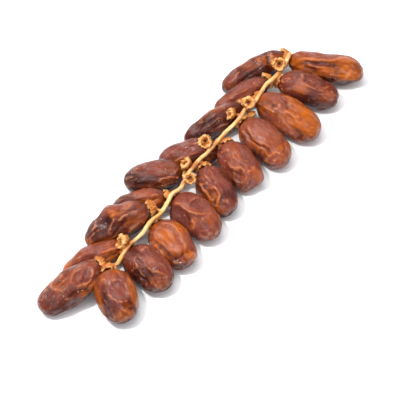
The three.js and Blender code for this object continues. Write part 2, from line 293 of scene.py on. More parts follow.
        ("facet", (0.37, -0.58), 6, 0.7),
        ("facet", (0.97, 0.27), 6, 0.6),
        ("patch", (0.27, 0.1), (7, 5), 0, "amber_and_glow", 0.5),
        ("patch", (0.57, 0.24), (8, 6), 0, "bloom_and_sheen", 1.0),
        ("patch", (0.72, -0.37), (7, 2.5), 0, "amber_and_glow", 0.9),
        ("patch", (0.85, 0.31), (4, 5), 0, "amber_and_glow", 0.5),
        ("patch", (0.77, -0.57), (6, 3), 0, "shade", 0.7),
        ("patch", (0.29, -0.66), (2.5, 8), 0, "bloom_and_sheen", 0.6),
    ],
    "date_right_06": [
        ("swell", (0.45, -1.0), (10, 6), 0, 1.6),
        ("fold", [(0.31, -0.59), (0.46, -0.61), (0.61, -0.58)], 0.7, 1.2),
        ("fold", [(0.48, -0.12), (0.62, 0.0), (0.76, -0.05), (0.84, -0.28)], 0.8, 1.3),
        ("dent", (0.63, -0.3), (4.5, 2.6), 25, 1.6, 0.2),
        ("fold", [(0.71, -0.53), (0.71, -0.25), (0.78, -0.16), (0.83, -0.41), (0.79, -0.66)], 0.6, 0.9),
        ("fold", [(0.28, -0.84), (0.35, -0.57), (0.46, -0.09)], 0.8, 0.7),
        ("fold", [(0.35, -0.88), (0.53, -0.87), (0.71, -0.73)], 0.8, -0.9),
        ("fold", [(0.79, 0.03), (0.86, 0.1), (0.88, 0.32)], 0.8, 0.9),
        ("fold", [(0.89, -0.31), (0.9, -0.04), (0.95, 0.17)], 0.8, -0.6),
        ("fold", [(0.21, -0.73), (0.36, -0.21), (0.48, 0.16)], 0.8, -0.6),
        ("patch", (0.63, -0.3), (5, 4), 20, "amber_and_glow", 1.0),
        ("patch", (0.76, -0.48), (4, 3), 0, "amber_and_glow", 0.9),
        ("patch", (0.28, -0.45), (3, 5), 0, "amber_and_glow", 0.5),
        ("patch", (0.21, 0.08), (9, 5), 0, "bloom_and_sheen", 0.9),
        ("patch", (0.55, 0.31), (4, 7), 0, "bloom_and_sheen", 0.7),
        ("patch", (0.94, 0.15), (4, 4), 0, "bloom_and_sheen", 0.9),
        ("patch", (0.78, 0.63), (2, 12), 0, "shade", 0.7),
        ("patch", (0.96, -0.35), (5, 3), 0, "amber_and_glow", 0.7),
        ("patch", (0.48, -0.84), (4, 5), 0, "shade", 0.4),
    ],
    "date_right_07": [
        ("swell", (0.25, -1.0), (9, 6), 0, 1.4),
        ("fold", [(0.05, -0.19), (0.34, -0.1), (0.5, 0.05), (0.63, 0.35), (0.66, 0.66)], 1.0, 1.2),
        ("fold", [(0.57, 0.08), (0.64, -0.34), (0.7, -0.71)], 1.0, 0.8),
        ("facet", (0.34, -0.54), 7, 1.0),
        ("facet", (0.49, 0.61), 6, 0.8),
        ("facet", (0.72, 0.06), 5, 0.7),
        ("fold", [(0.38, -0.22), (0.51, -0.52), (0.59, -0.74)], 0.9, -0.7),
        ("fold", [(0.61, 0.11), (0.64, 0.31), (0.69, 0.58)], 0.8, -0.9),
        ("fold", [(0.78, -0.77), (0.91, -0.46), (0.95, 0.14)], 0.9, 0.7),
        ("patch", (0.47, 0.65), (8, 6), 0, "bloom_and_sheen", 1.0),
        ("patch", (0.03, 0.09), (8, 4), 0, "bloom_and_sheen", 0.8),
        ("patch", (0.34, 0.06), (8, 1.8), 20, "amber_and_glow", 1.0),
        ("patch", (0.64, -0.17), (2.5, 6), 0, "amber_and_glow", 1.0),
        ("patch", (0.71, 0.66), (5, 6), 0, "amber_and_glow", 0.6),
        ("patch", (0.38, -0.63), (6, 8), 0, "shade", 0.6),
        ("patch", (0.73, -0.23), (4, 5), 0, "shade", 0.6),
        ("patch", (0.89, -0.46), (8, 3), 0, "bloom_and_sheen", 0.5),
    ],
    "date_right_08": [
        ("fold", [(0.06, 0.25), (0.25, 0.64), (0.46, 0.73), (0.69, 0.52), (0.84, 0.44)], 0.9, 1.1),
        ("fold", [(0.31, -0.66), (0.51, -0.68), (0.71, -0.66)], 1.0, 1.2),
        ("fold", [(0.25, -0.6), (0.54, -0.48), (0.75, -0.5)], 0.8, -0.8),
        ("facet", (0.45, 0.15), 10, 1.2),
        ("fold", [(0.93, 0.2), (0.93, 0.43), (0.9, 0.66)], 0.7, 0.7),
        ("fold", [(0.79, -0.72), (0.9, -0.27), (0.99, 0.14)], 0.9, 0.7),
        ("fold", [(0.79, -0.57), (0.86, 0.07), (0.85, 0.41)], 0.9, -0.7),
        ("patch", (0.46, 0.19), (10, 11), 0, "amber_and_glow", 0.85),
        ("patch", (0.65, 0.82), (5, 9), 0, "bloom_and_sheen", 1.0),
        ("patch", (0.11, 0.51), (9, 3), 0, "bloom_and_sheen", 0.6),
        ("fold", [(0.2, -0.75), (0.42, -0.82), (0.66, -0.78)], 0.8, 0.9),
        ("patch", (0.54, -0.59), (4, 4), 30, "shade", 0.5),
        ("patch", (0.93, -0.38), (9, 3), 0, "shade", 0.5),
        ("patch", (0.93, 0.39), (3, 3), 0, "amber_and_glow", 0.8),
    ],
    "date_right_09": [
        ("fold", [(0.24, 0.48), (0.24, 0.77), (0.36, 0.88)], 0.7, 0.7),
        ("fold", [(0.29, 0.28), (0.32, 0.62), (0.45, 0.77)], 0.7, -0.7),
        ("dent", (0.38, 0.05), (3.5, 2.5), 0, 0.8, 0.5),
        ("fold", [(0.52, 0.04), (0.67, 0.14), (0.79, 0.36)], 0.9, 1.0),
        ("fold", [(0.37, -0.43), (0.55, -0.6), (0.78, -0.5)], 1.1, -1.3),
        ("fold", [(0.56, -0.08), (0.74, -0.18), (0.88, -0.0)], 1.0, -1.0),
        ("fold", [(0.31, -0.15), (0.47, -0.39), (0.66, -0.41)], 0.9, 0.8),
        ("fold", [(0.62, 0.75), (0.8, 0.66), (0.95, 0.32)], 1.0, 0.7),
        ("dent", (0.83, 0.0), (5, 3.5), 20, 0.9, 0.4),
        ("facet", (0.5, 0.98), 7, 0.8),
        ("patch", (0.48, 0.76), (10, 6), 0, "bloom_and_sheen", 1.0),
        ("patch", (0.55, -0.6), (5, 8), 20, "shade", 0.9),
        ("patch", (0.95, -0.06), (7, 4), 0, "amber_and_glow", 0.6),
        ("patch", (0.49, 0.35), (4, 4), 0, "amber_and_glow", 0.5),
        ("patch", (0.85, 0.65), (3, 8), 0, "bloom_and_sheen", 0.6),
    ],
    "date_right_10": [
        ("facet", (0.55, 0.25), 6.5, 0.5),
        ("fold", [(0.46, -0.24), (0.63, -0.26), (0.74, -0.02), (0.75, 0.39)], 0.6, 0.5),
        ("fold", [(0.13, 0.46), (0.3, 0.54), (0.46, 0.66)], 0.7, -0.5),
        ("fold", [(0.28, 0.86), (0.49, 0.97), (0.76, 0.69)], 0.9, 0.6),
        ("fold", [(0.3, -0.5), (0.55, -0.6), (0.78, -0.3)], 0.9, -0.5),
        ("patch", (0.1, 0.1), (7, 9), 0, "amber_and_glow", 0.6),
        ("patch", (0.45, 0.2), (9, 6), 0, "bloom_and_sheen", 1.0),
        ("patch", (0.6, 0.95), (10, 3), 0, "amber_and_glow", 1.0),
        ("patch", (0.45, -1.0), (14, 3), 0, "amber_and_glow", 0.7),
        ("patch", (0.98, 0.0), (3, 8), 0, "amber_and_glow", 0.7),
        ("patch", (0.62, -0.38), (10, 4), -10, "shade", 1.0),
    ],
}

# How far each whole date leans to a skin colour.
TONES = {
    "date_left_01": {"shade": 0.25},
    "date_left_02": {"shade": 0.35, "bloom_and_sheen": 0.2},
    "date_left_03": {"shade": 0.5},
    "date_left_04": {"shade": 0.35},
    "date_left_05": {"shade": 0.45},
    "date_left_06": {"shade": 0.15, "amber_and_glow": 0.2},
    "date_left_07": {"shade": 0.25},
    "date_left_08": {"amber_and_glow": 0.2},
    "date_left_09": {"bloom_and_sheen": 0.2, "shade": 0.15},
    "date_right_01": {"amber_and_glow": 0.45},
    "date_right_02": {"bloom_and_sheen": 0.2},
    "date_right_03": {"amber_and_glow": 0.4},
    "date_right_04": {"amber_and_glow": 0.3, "bloom_and_sheen": 0.35},
    "date_right_05": {"bloom_and_sheen": 0.6},
    "date_right_06": {"shade": 0.15},
    "date_right_07": {"bloom_and_sheen": 0.5},
    "date_right_08": {"amber_and_glow": 0.2},
    "date_right_09": {"shade": 0.25},
    "date_right_10": {"shade": 0.15},
}


# ---- Measures ----


def vertices_mm(node):
    """The vertices of a CAD node as an array in millimetres."""
    mesh = NODES[node].data
    flat = np.empty(len(mesh.vertices) * 3)
    mesh.vertices.foreach_get("co", flat)
    return flat.reshape(-1, 3) / MM


def middle_of(points):
    """The middle of the box round some points."""
    return (points.min(axis=0) + points.max(axis=0)) / 2


def unit(vector):
    """The vector at length 1."""
    return vector / np.linalg.norm(vector)


def smooth_rise(values, low, high):
    """0 below low, 1 above high, and an even S between them."""
    share = np.clip((values - low) / (high - low), 0.0, 1.0)
    return share * share * (3 - 2 * share)


class DateAxes:
    """A date's own directions: along from cap to tip, open towards the front, and across."""

    def __init__(self, node):
        points = vertices_mm(node)
        cap = middle_of(vertices_mm(node.replace("date_", "cap_")))
        spread = np.linalg.svd(points - points.mean(axis=0), full_matrices=False)[2]
        along = spread[0]
        if np.dot(points.mean(axis=0) - cap, along) < 0:
            along = -along
        self.along = along
        open_side = np.array(OPEN_SIDE)
        self.open = unit(open_side - along * np.dot(open_side, along))
        self.across = np.cross(self.open, along)
        turned = points @ self.matrix().T
        low, high = turned.min(axis=0), turned.max(axis=0)
        self.middle = ((low + high) / 2) @ self.matrix()
        self.size = high - low

    def matrix(self):
        """Rows along, across and open."""
        return np.array([self.along, self.across, self.open])

    def local(self, points):
        """Points in millimetres from the date's middle, along, across and open."""
        return (points - self.middle) @ self.matrix().T


# ---- Meshes ----


def merged_copy(node):
    """A bmesh of a CAD node with its doubled vertices merged."""
    form = bmesh.new()
    form.from_mesh(NODES[node].data)
    bmesh.ops.remove_doubles(form, verts=form.verts, dist=1e-6)
    bmesh.ops.recalc_face_normals(form, faces=form.faces)
    return form


def positions(form):
    """Vertex positions of a bmesh in millimetres."""
    return np.array([v.co[:] for v in form.verts]) / MM


def normals_of(form):
    """Vertex normals of a bmesh."""
    form.normal_update()
    return np.array([v.normal[:] for v in form.verts])


def move_to(form, points):
    """Moves the vertices of a bmesh to points in millimetres."""
    for vertex, point in zip(form.verts, points * MM):
        vertex.co = point
    form.normal_update()


def smoothed(form, passes, factor=0.5):
    """Evens out a bmesh."""
    for _ in range(passes):
        bmesh.ops.smooth_vert(
            form,
            verts=form.verts,
            factor=factor,
            use_axis_x=True,
            use_axis_y=True,
            use_axis_z=True,
        )


def crests(form):
    """How sharply each vertex stands above (1) or below (-1) the ones round it."""
    points, normals = positions(form), normals_of(form)
    edges = np.array([(e.verts[0].index, e.verts[1].index) for e in form.edges])
    total = np.zeros_like(points)
    count = np.zeros(len(points))
    for one, other in ((0, 1), (1, 0)):
        np.add.at(total, edges[:, one], points[edges[:, other]])
        np.add.at(count, edges[:, one], 1)
    mean = total / count[:, None]
    height = ((points - mean) * normals).sum(axis=1)
    for _ in range(2):
        spread = np.zeros(len(points))
        for one, other in ((0, 1), (1, 0)):
            np.add.at(spread, edges[:, one], height[edges[:, other]])
        height = height * 0.4 + spread / count * 0.6
    return height


def put_in_scene(form, name, material, replaced, attributes=None):
    """Makes a bmesh a finished piece of the bunch that stands for CAD nodes."""
    mesh = bpy.data.meshes.new(name)
    form.to_mesh(mesh)
    form.free()
    mesh.polygons.foreach_set("use_smooth", [True] * len(mesh.polygons))
    for key, values in (attributes or {}).items():
        kind = "FLOAT_VECTOR" if values.ndim == 2 else "FLOAT"
        layer = mesh.attributes.new(key, kind, "POINT")
        layer.data.foreach_set("vector" if values.ndim == 2 else "value", values.ravel())
    mesh.materials.append(material)
    piece = bpy.data.objects.new(name, mesh)
    bpy.context.scene.collection.objects.link(piece)
    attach(piece, "root")
    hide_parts(*replaced)
    return piece


# ---- Date skins ----


def line_distance(flat, line):
    """Distance to a line of points on a plane, and how far along it."""
    best = np.full(len(flat), FAR)
    along = np.zeros(len(flat))
    for number, (start, end) in enumerate(zip(line[:-1], line[1:])):
        run = end - start
        share = np.clip(((flat - start) @ run) / (run @ run), 0.0, 1.0)
        gap = flat - (start + share[:, None] * run)
        distance = np.linalg.norm(gap, axis=1)
        closer = distance < best
        best = np.where(closer, distance, best)
        along = np.where(closer, (number + share) / (len(line) - 1), along)
    return best, along


def oval_distance(flat, middle, radii, turn):
    """1 on the edge of a turned oval, less inside, more outside."""
    c, s = math.cos(math.radians(turn)), math.sin(math.radians(turn))
    gap = flat - middle
    x = (gap[:, 0] * c + gap[:, 1] * s) / radii[0]
    y = (gap[:, 1] * c - gap[:, 0] * s) / radii[1]
    return np.hypot(x, y)


def marked(points, normals, axes, marks):
    """Applies a date's marks: the moved points and the gathered skin colours."""
    local = axes.local(points)
    half = axes.size / 2
    flat = local[:, :2]
    shown = smooth_rise(normals @ axes.open, -0.05, 0.3)
    skins = {name: np.zeros(len(points)) for name in ("amber_and_glow", "bloom_and_sheen", "shade")}
    lift = np.zeros(len(points))
    moved = points.copy()
    sway = LINE_SWAY * np.stack(
        [lasting_noise(local, (0.3, 0.3, 0.3), seed) for seed in (61, 62)], axis=1
    )
    uneven = smooth_rise(lasting_noise(local, (0.25, 0.25, 0.25), 63), -0.4, 0.4)

    def on_skin(along, across):
        return np.array([(along * 2 - 1) * half[0], across * half[1]])

    for mark in marks:
        kind = mark[0]
        if kind == "fold":
            line = [on_skin(*place) for place in mark[1]]
            distance, run = line_distance(flat + sway, line)
            width, rise = mark[2] * FOLD_SPREAD, mark[3]
            taper = 0.25 + 0.75 * smooth_rise(0.5 - np.abs(run - 0.5), 0.0, FOLD_END)
            near = np.exp(-(np.hypot(distance, FOLD_TOP) - FOLD_TOP) / width) * taper
            lift += rise * FOLD_RISE * near * shown
        elif kind == "dent":
            middle, radii, turn, depth, rim = mark[1:]
            away = oval_distance(flat + sway * 0.8, on_skin(*middle), radii, turn)
            sunk = smooth_rise(1.05 - away, 0.0, 0.45)
            edge = np.exp(-np.abs(away - 1.08) / 0.16) * uneven
            lift += (rim * DENT_RIM * edge - depth * DENT_DEPTH * sunk) * shown
        elif kind == "swell":
            middle, radii, turn, rise = mark[1:]
            away = oval_distance(flat, on_skin(*middle), radii, turn)
            lift += rise * smooth_rise(1 - away, 0.0, 1.0)
        elif kind == "facet":
            middle, radius, depth = mark[1:]
            radius, depth = radius * FACET_REACH, depth * FACET_DEPTH
            away = np.linalg.norm(flat - on_skin(*middle), axis=1)
            seat = np.argmin(away + np.where(shown > 0.5, 0.0, FAR))
            toward = normals[seat]
            above = (points - points[seat]) @ toward + depth
            share = smooth_rise(radius - away, 0.0, radius * 0.3) * shown
            moved -= toward * (np.maximum(above, 0.0) * share * FACET_FLATNESS)[:, None]
        elif kind == "patch":
            middle, radii, turn, skin, strength = mark[1:]
            away = oval_distance(flat, on_skin(*middle), radii, turn)
            skins[skin] += strength * smooth_rise(1.35 - away, 0.0, 0.7) * shown
    return moved + normals * lift[:, None], skins


def lasting_noise(points, scale, seed):
    """Smooth noise between about -1 and 1 at each point; scale stretches each direction."""
    shift = Vector((seed * 7.31, seed * 3.77, seed * 5.13))
    spots = points * np.array(scale)
    return np.array([noise.noise(Vector(spot) + shift) for spot in spots])


def wrinkled(points, normals, axes, seed, amount):
    """Long pinches and small puckers, as drying leaves them."""
    local = axes.local(points)
    tilt = lasting_noise(local, (0.09, 0.09, 0.09), seed + 1)
    swell = lasting_noise(local, (0.12, 0.12, 0.12), seed)
    bent = local + np.stack([np.zeros_like(tilt), tilt * 2.2, tilt * -2.2], axis=1)
    pinch = 1 - 2 * np.abs(lasting_noise(bent, (0.055, 0.26, 0.26), seed + 2)) ** 0.8
    pucker = 1 - 2 * np.abs(lasting_noise(bent, (0.2, 0.5, 0.5), seed + 3)) ** 0.8
    where = smooth_rise(lasting_noise(local, (0.1, 0.1, 0.1), seed + 4), -0.25, 0.35)
    lift = swell * 1.0 + (pinch * 0.66 + pucker * 0.34) * (0.3 + 0.7 * where)
    return points + normals * (lift * amount)[:, None]


def date_skin_form(node, seed, settings):
    """The closed skin of one date, with its skin colours, painted shade, painted sheen and painted glow
    as attributes.
    """
    axes = DateAxes(node)
    solid = merged_copy(node)
    surface = BVHTree.FromBMesh(solid)
    solid.free()
    form = bmesh.new()
    bmesh.ops.create_icosphere(form, subdivisions=settings.fineness, radius=1.0)
    turn = Matrix((axes.along, axes.across, axes.open)).transposed()
    stretch = Matrix.Diagonal(Vector(axes.size / 2 * MM)).to_4x4()
    bmesh.ops.transform(
        form,
        matrix=Matrix.Translation(Vector(axes.middle * MM)) @ turn.to_4x4() @ stretch,
        verts=form.verts,
    )
    centre = Vector(axes.middle * MM)
    for vertex in form.verts:
        hit = surface.ray_cast(centre, vertex.co - centre)[0]
        if hit is None:
            raise RuntimeError(node + ": its solid isn't closed round its middle")
        vertex.co = hit
    smoothed(form, settings.evening)
    points, normals = positions(form), normals_of(form)
    share = axes.local(points)[:, 0] / axes.size[0] + 0.5
    blunt = settings.shoulder * (1 - smooth_rise(share, 0.15, 0.75))
    points = points + normals * (settings.fullness + blunt)[:, None]
    points = wrinkled(points, normals, axes, seed, settings.wrinkle)
    points, skins = marked(points, normals, axes, MARKS.get(node, ()))
    points[:, 2] = np.maximum(points[:, 2], 0.0)
    move_to(form, points)
    smoothed(form, 1, 0.4)
    relief = np.clip(crests(form) * 14 - 0.1, -1.0, 1.0)
    local = axes.local(positions(form))
    # Painted shade: faces that turn down, towards the table, are darkened.
    skins["shade"] += 0.65 * smooth_rise(-normals[:, 2], -0.45, 0.2)
    mottle = lasting_noise(local, (0.11, 0.16, 0.16), seed + 9)
    # Wax, and painted sheen: faces that turn up take the wax colour, standing in for the light reflected
    # off the tops.
    rise = smooth_rise(normals[:, 2], -0.2, 0.9)
    skins["bloom_and_sheen"] += np.clip(rise * (0.5 + 0.9 * mottle), 0.0, 0.8) * settings.wax_and_sheen
    # Painted glow: orange skin along the edges that turn away from the open side, standing in for light
    # shining through the thin skin.
    edge_glow = smooth_rise(0.6 - normals @ axes.open, 0.0, 0.5)
    skins["amber_and_glow"] += 0.4 * edge_glow * smooth_rise(mottle, -0.5, 0.4)
    skins["amber_and_glow"] += np.clip(
        lasting_noise(local, (0.08, 0.12, 0.12), seed + 12) * 1.6 - 0.25, 0.0, 1.0
    )
    for skin, strength in TONES[node].items():
        skins[skin] += strength
    attributes = {name: np.clip(values, -1.0, 1.0) for name, values in skins.items()}
    attributes["relief"] = relief
    attributes["place"] = local
    return form, attributes


# ---- Material nodes ----


def new_material(name):
    """An empty node material with its output and a Principled shader."""
    material = bpy.data.materials.new(name)
    material.use_nodes = True
    tree = material.node_tree
    tree.nodes.clear()
    output = tree.nodes.new("ShaderNodeOutputMaterial")
    shader = tree.nodes.new("ShaderNodeBsdfPrincipled")
    tree.links.new(shader.outputs["BSDF"], output.inputs["Surface"])
    return material, tree, shader


def add_node(tree, kind, inputs=None, **settings):
    """A node with its settings, and its inputs set to values or linked to sockets."""
    node = tree.nodes.new(kind)
    for key, value in settings.items():
        setattr(node, key, value)
    for key, value in (inputs or {}).items():
        if isinstance(value, bpy.types.NodeSocket):
            tree.links.new(value, node.inputs[key])
        else:
            node.inputs[key].default_value = value
    return node


def object_place(tree, stretch=(1, 1, 1), turn=(0, 0, 0)):
    """Object coordinates, stretched and turned."""
    coordinates = add_node(tree, "ShaderNodeTexCoord")
    mapping = add_node(
        tree,
        "ShaderNodeMapping",
        {"Vector": coordinates.outputs["Object"], "Scale": stretch, "Rotation": turn},
    )
    return mapping.outputs["Vector"]


def attribute_place(tree, name, stretch):
    """A piece's own place attribute, stretched."""
    place = add_node(tree, "ShaderNodeAttribute", attribute_name=name)
    mapping = add_node(
        tree,
        "ShaderNodeMapping",
        {"Vector": place.outputs["Vector"], "Scale": stretch},
    )
    return mapping.outputs["Vector"]


def grain(tree, place, scale, detail=3.0, roughness=0.55, distortion=0.0):
    """Noise at a place."""
    return add_node(
        tree,
        "ShaderNodeTexNoise",
        {
            "Vector": place,
            "Scale": scale,
            "Detail": detail,
            "Roughness": roughness,
            "Distortion": distortion,
        },
    ).outputs["Fac"]


def eased(tree, value, low, high, bottom=0.0, top=1.0):
    """A value spread from low..high to bottom..top and held there."""
    return add_node(
        tree,
        "ShaderNodeMapRange",
        {
            "Value": value,
            "From Min": low,
            "From Max": high,
            "To Min": bottom,
            "To Max": top,
        },
        clamp=True,
    ).outputs["Result"]


def times(tree, one, other):
    """The product of two values."""
    return add_node(
        tree, "ShaderNodeMath", {0: one, 1: other}, operation="MULTIPLY"
    ).outputs[0]


def blend_colours(tree, share, one, other):
    """The colour socket of a mix of two colours."""
    node = tree.nodes.new("ShaderNodeMix")
    node.data_type = "RGBA"
    for key, value in ((0, share), (6, one), (7, other)):
        if isinstance(value, bpy.types.NodeSocket):
            tree.links.new(value, node.inputs[key])
        else:
            node.inputs[key].default_value = value
    return node.outputs[2]


def own_value(tree, name):
    """A piece's own attribute as a value."""
    return add_node(tree, "ShaderNodeAttribute", attribute_name=name).outputs["Fac"]


def rgba(colour):
    """A colour property with an alpha of 1."""
    return (*colour, 1.0)


def skin_material(settings):
    """Glossy dried date skin: red-brown, orange where thin with a painted glow on its edges, wax and
    painted sheen on its upper faces, a painted highlight on its ridges and painted shade in its creases
    and undersides.
    """
    material, tree, shader = new_material("date_skin")
    broad = grain(tree, object_place(tree), 110.0, 3.0)
    speck = grain(tree, object_place(tree), 900.0, 4.0, 0.7)
    long_grain = grain(tree, attribute_place(tree, "place", (0.12, 0.55, 0.55)), 1.0, 4.0)
    relief = own_value(tree, "relief")
    fine_place = attribute_place(tree, "place", (0.45, 1.0, 1.0))
    crackle = add_node(
        tree,
        "ShaderNodeMath",
        {0: grain(tree, fine_place, 1.0, 4.0, 0.6, 0.4), 1: 0.5},
        operation="SUBTRACT",
    ).outputs[0]
    crackle = add_node(
        tree, "ShaderNodeMath", {0: crackle}, operation="ABSOLUTE"
    ).outputs[0]
    colour = blend_colours(
        tree,
        eased(tree, broad, 0.35, 0.65),
        rgba(settings.body),
        rgba(settings.warm),
    )
    # Orange skin, with the painted glow along the edges.
    amber_and_glow = times(tree, own_value(tree, "amber_and_glow"), eased(tree, long_grain, 0.3, 0.6, 0.45))
    colour = blend_colours(tree, amber_and_glow, colour, rgba(settings.amber_and_glow))
    # Painted shade: the creases are darkened.
    hollow_shade = eased(tree, relief, -0.05, -0.6, 0.0, 0.75)
    colour = blend_colours(tree, hollow_shade, colour, rgba(settings.hollow_shade))
    # Dark skin, and painted shade on the faces that turn down.
    shade = times(tree, own_value(tree, "shade"), eased(tree, broad, 0.3, 0.6, 0.7))
    colour = blend_colours(tree, shade, colour, rgba(settings.shade))
    # Painted shade along the fine crackle lines, where the bump sinks.
    crack_shade = times(tree, eased(tree, crackle, 0.035, 0.0), eased(tree, broad, 0.4, 0.6, 0.1, 0.6))
    colour = blend_colours(tree, crack_shade, colour, rgba(settings.hollow_shade))
    # Wax, and painted sheen on the faces that turn up.
    wax_and_sheen = times(tree, own_value(tree, "bloom_and_sheen"), eased(tree, speck, 0.35, 0.65, 0.3))
    colour = blend_colours(tree, wax_and_sheen, colour, rgba(settings.bloom_and_sheen))
    # Painted highlight: the ridges are lightened.
    ridge_highlight = eased(tree, relief, 0.18, 0.9, 0.0, 0.48)
    colour = blend_colours(tree, ridge_highlight, colour, rgba(settings.ridge_highlight))
    flake = times(tree, eased(tree, broad, 0.5, 0.6), eased(tree, speck, 0.63, 0.69))
    colour = blend_colours(tree, flake, colour, rgba(settings.flake))
    tree.links.new(colour, shader.inputs["Base Color"])
    rough = eased(tree, wax_and_sheen, 0.0, 0.6, 0.19, 0.38)
    tree.links.new(rough, shader.inputs["Roughness"])
    shader.inputs["Subsurface Weight"].default_value = 0.15
    shader.inputs["Subsurface Radius"].default_value = (1.0, 0.32, 0.12)
    shader.inputs["Subsurface Scale"].default_value = 2.2 * MM
    shader.inputs["IOR"].default_value = 1.40
    shader.inputs["Specular IOR Level"].default_value = 0.09
    damp = grain(tree, attribute_place(tree, "place", (0.14, 0.3, 0.3)), 1.0, 3.0)
    tree.links.new(eased(tree, damp, 0.42, 0.54, 0.05, 0.75), shader.inputs["Coat Weight"])
    shader.inputs["Coat Roughness"].default_value = 0.12
    streaks = add_node(
        tree,
        "ShaderNodeBump",
        {"Strength": 0.6, "Distance": 1.1 * MM, "Height": long_grain},
    )
    fine = add_node(
        tree,
        "ShaderNodeBump",
        {
            "Strength": 0.8,
            "Distance": 1.0 * MM,
            "Height": crackle,
            "Normal": streaks.outputs["Normal"],
        },
    )
    pores = add_node(
        tree,
        "ShaderNodeBump",
        {
            "Strength": 0.5,
            "Distance": 0.2 * MM,
            "Height": speck,
            "Normal": fine.outputs["Normal"],
        },
    )
    tree.links.new(pores.outputs["Normal"], shader.inputs["Normal"])
    wet = add_node(
        tree,
        "ShaderNodeBump",
        {"Strength": 0.6, "Distance": 1.0 * MM, "Height": crackle},
    )
    tree.links.new(wet.outputs["Normal"], shader.inputs["Coat Normal"])
    return material


def husk_material(settings):
    """Dry husk of the caps and cups: straw to orange, with painted shade in the hollows."""
    material, tree, shader = new_material("cap_husk")
    fibre = grain(tree, object_place(tree, (1, 1, 1)), 700.0, 5.0, 0.7)
    broad = grain(tree, object_place(tree), 240.0, 2.0)
    colour = blend_colours(
        tree, eased(tree, broad, 0.35, 0.65), rgba(settings.husk), rgba(settings.straw)
    )
    rim = times(tree, own_value(tree, "rim"), eased(tree, fibre, 0.35, 0.6, 0.3))
    colour = blend_colours(tree, rim, colour, rgba(settings.pale))
    # Painted shade: the inside of each cup is darkened.
    colour = blend_colours(tree, own_value(tree, "hollow_shade"), colour, rgba(settings.pit_shade))
    tree.links.new(colour, shader.inputs["Base Color"])
    shader.inputs["Roughness"].default_value = 0.55
    shader.inputs["Subsurface Weight"].default_value = 0.2
    shader.inputs["Subsurface Radius"].default_value = (1.0, 0.5, 0.2)
    shader.inputs["Subsurface Scale"].default_value = 1.2 * MM
    bump = add_node(
        tree, "ShaderNodeBump", {"Strength": 0.7, "Distance": 0.3 * MM, "Height": fibre}
    )
    tree.links.new(bump.outputs["Normal"], shader.inputs["Normal"])
    return material


def twig_material(settings):
    """The strand's smooth straw-coloured wood, orange where growths leave it."""
    material, tree, shader = new_material("strand_wood")
    fibre = grain(tree, object_place(tree, (3, 0.35, 3)), 600.0, 4.0)
    broad = grain(tree, object_place(tree), 160.0, 2.0)
    colour = blend_colours(
        tree, eased(tree, broad, 0.35, 0.65), rgba(settings.wood), rgba(settings.gold)
    )
    colour = blend_colours(
        tree, eased(tree, fibre, 0.55, 0.75, 0.0, 0.5), colour, rgba(settings.fibre)
    )
    joint = times(tree, own_value(tree, "joint"), eased(tree, broad, 0.3, 0.55, 0.5))
    colour = blend_colours(tree, joint, colour, rgba(settings.scar))
    tree.links.new(colour, shader.inputs["Base Color"])
    shader.inputs["Roughness"].default_value = 0.5
    shader.inputs["Subsurface Weight"].default_value = 0.2
    shader.inputs["Subsurface Radius"].default_value = (1.0, 0.6, 0.25)
    shader.inputs["Subsurface Scale"].default_value = 1.0 * MM
    bump = add_node(
        tree, "ShaderNodeBump", {"Strength": 0.5, "Distance": 0.2 * MM, "Height": fibre}
    )
    tree.links.new(bump.outputs["Normal"], shader.inputs["Normal"])
    return material


# ---- Caps and cups ----

# Outline of a cap: (radius, height) in millimetres. The strand is below and the date above.
CAP_OUTLINE = [
    (0.0, -2.8),
    (1.4, -2.8),
    (2.3, -2.5),
    (3.7, -1.9),
    (4.5, -0.7),
    (4.6, 0.4),
    (4.1, 1.0),
    (3.5, 0.4),
    (2.6, -0.4),
    (0.0, -0.8),
]
# Outline of an empty cup of radius 1, open above.
CUP_OUTLINE = [
    (0.0, -0.6),
    (0.4, -0.6),
    (0.8, -0.4),
    (1.0, 0.0),
    (0.96, 0.36),
    (0.8, 0.52),
    (0.62, 0.44),
    (0.52, 0.28),
    (0.42, 0.38),
    (0.3, 0.3),
    (0.22, -0.05),
    (0.0, -0.2),
]


def turned_form(outline, sides):
    """A closed form turned from an outline of radius and height, in millimetres."""
    form = bmesh.new()
    ring = [form.verts.new((radius * MM, 0, height * MM)) for radius, height in outline]
    edges = [form.edges.new(pair) for pair in zip(ring[:-1], ring[1:])]
    bmesh.ops.spin(
        form,
        geom=ring + edges,
        cent=(0, 0, 0),
        axis=(0, 0, 1),
        angle=math.tau,
        steps=sides,
        use_merge=True,
    )
    bmesh.ops.remove_doubles(form, verts=form.verts, dist=1e-7)
    bmesh.ops.subdivide_edges(form, edges=form.edges, cuts=1, use_grid_fill=True, smooth=0.6)
    bmesh.ops.recalc_face_normals(form, faces=form.faces)
    return form


def axis_of(node, lean):
    """The middle of a cap or cup and the way it opens, on the side that lean points to."""
    points = vertices_mm(node)
    spread = np.linalg.svd(points - points.mean(axis=0), full_matrices=False)[2]
    axis = spread[2]
    return middle_of(points), axis if np.dot(axis, lean) > 0 else -axis


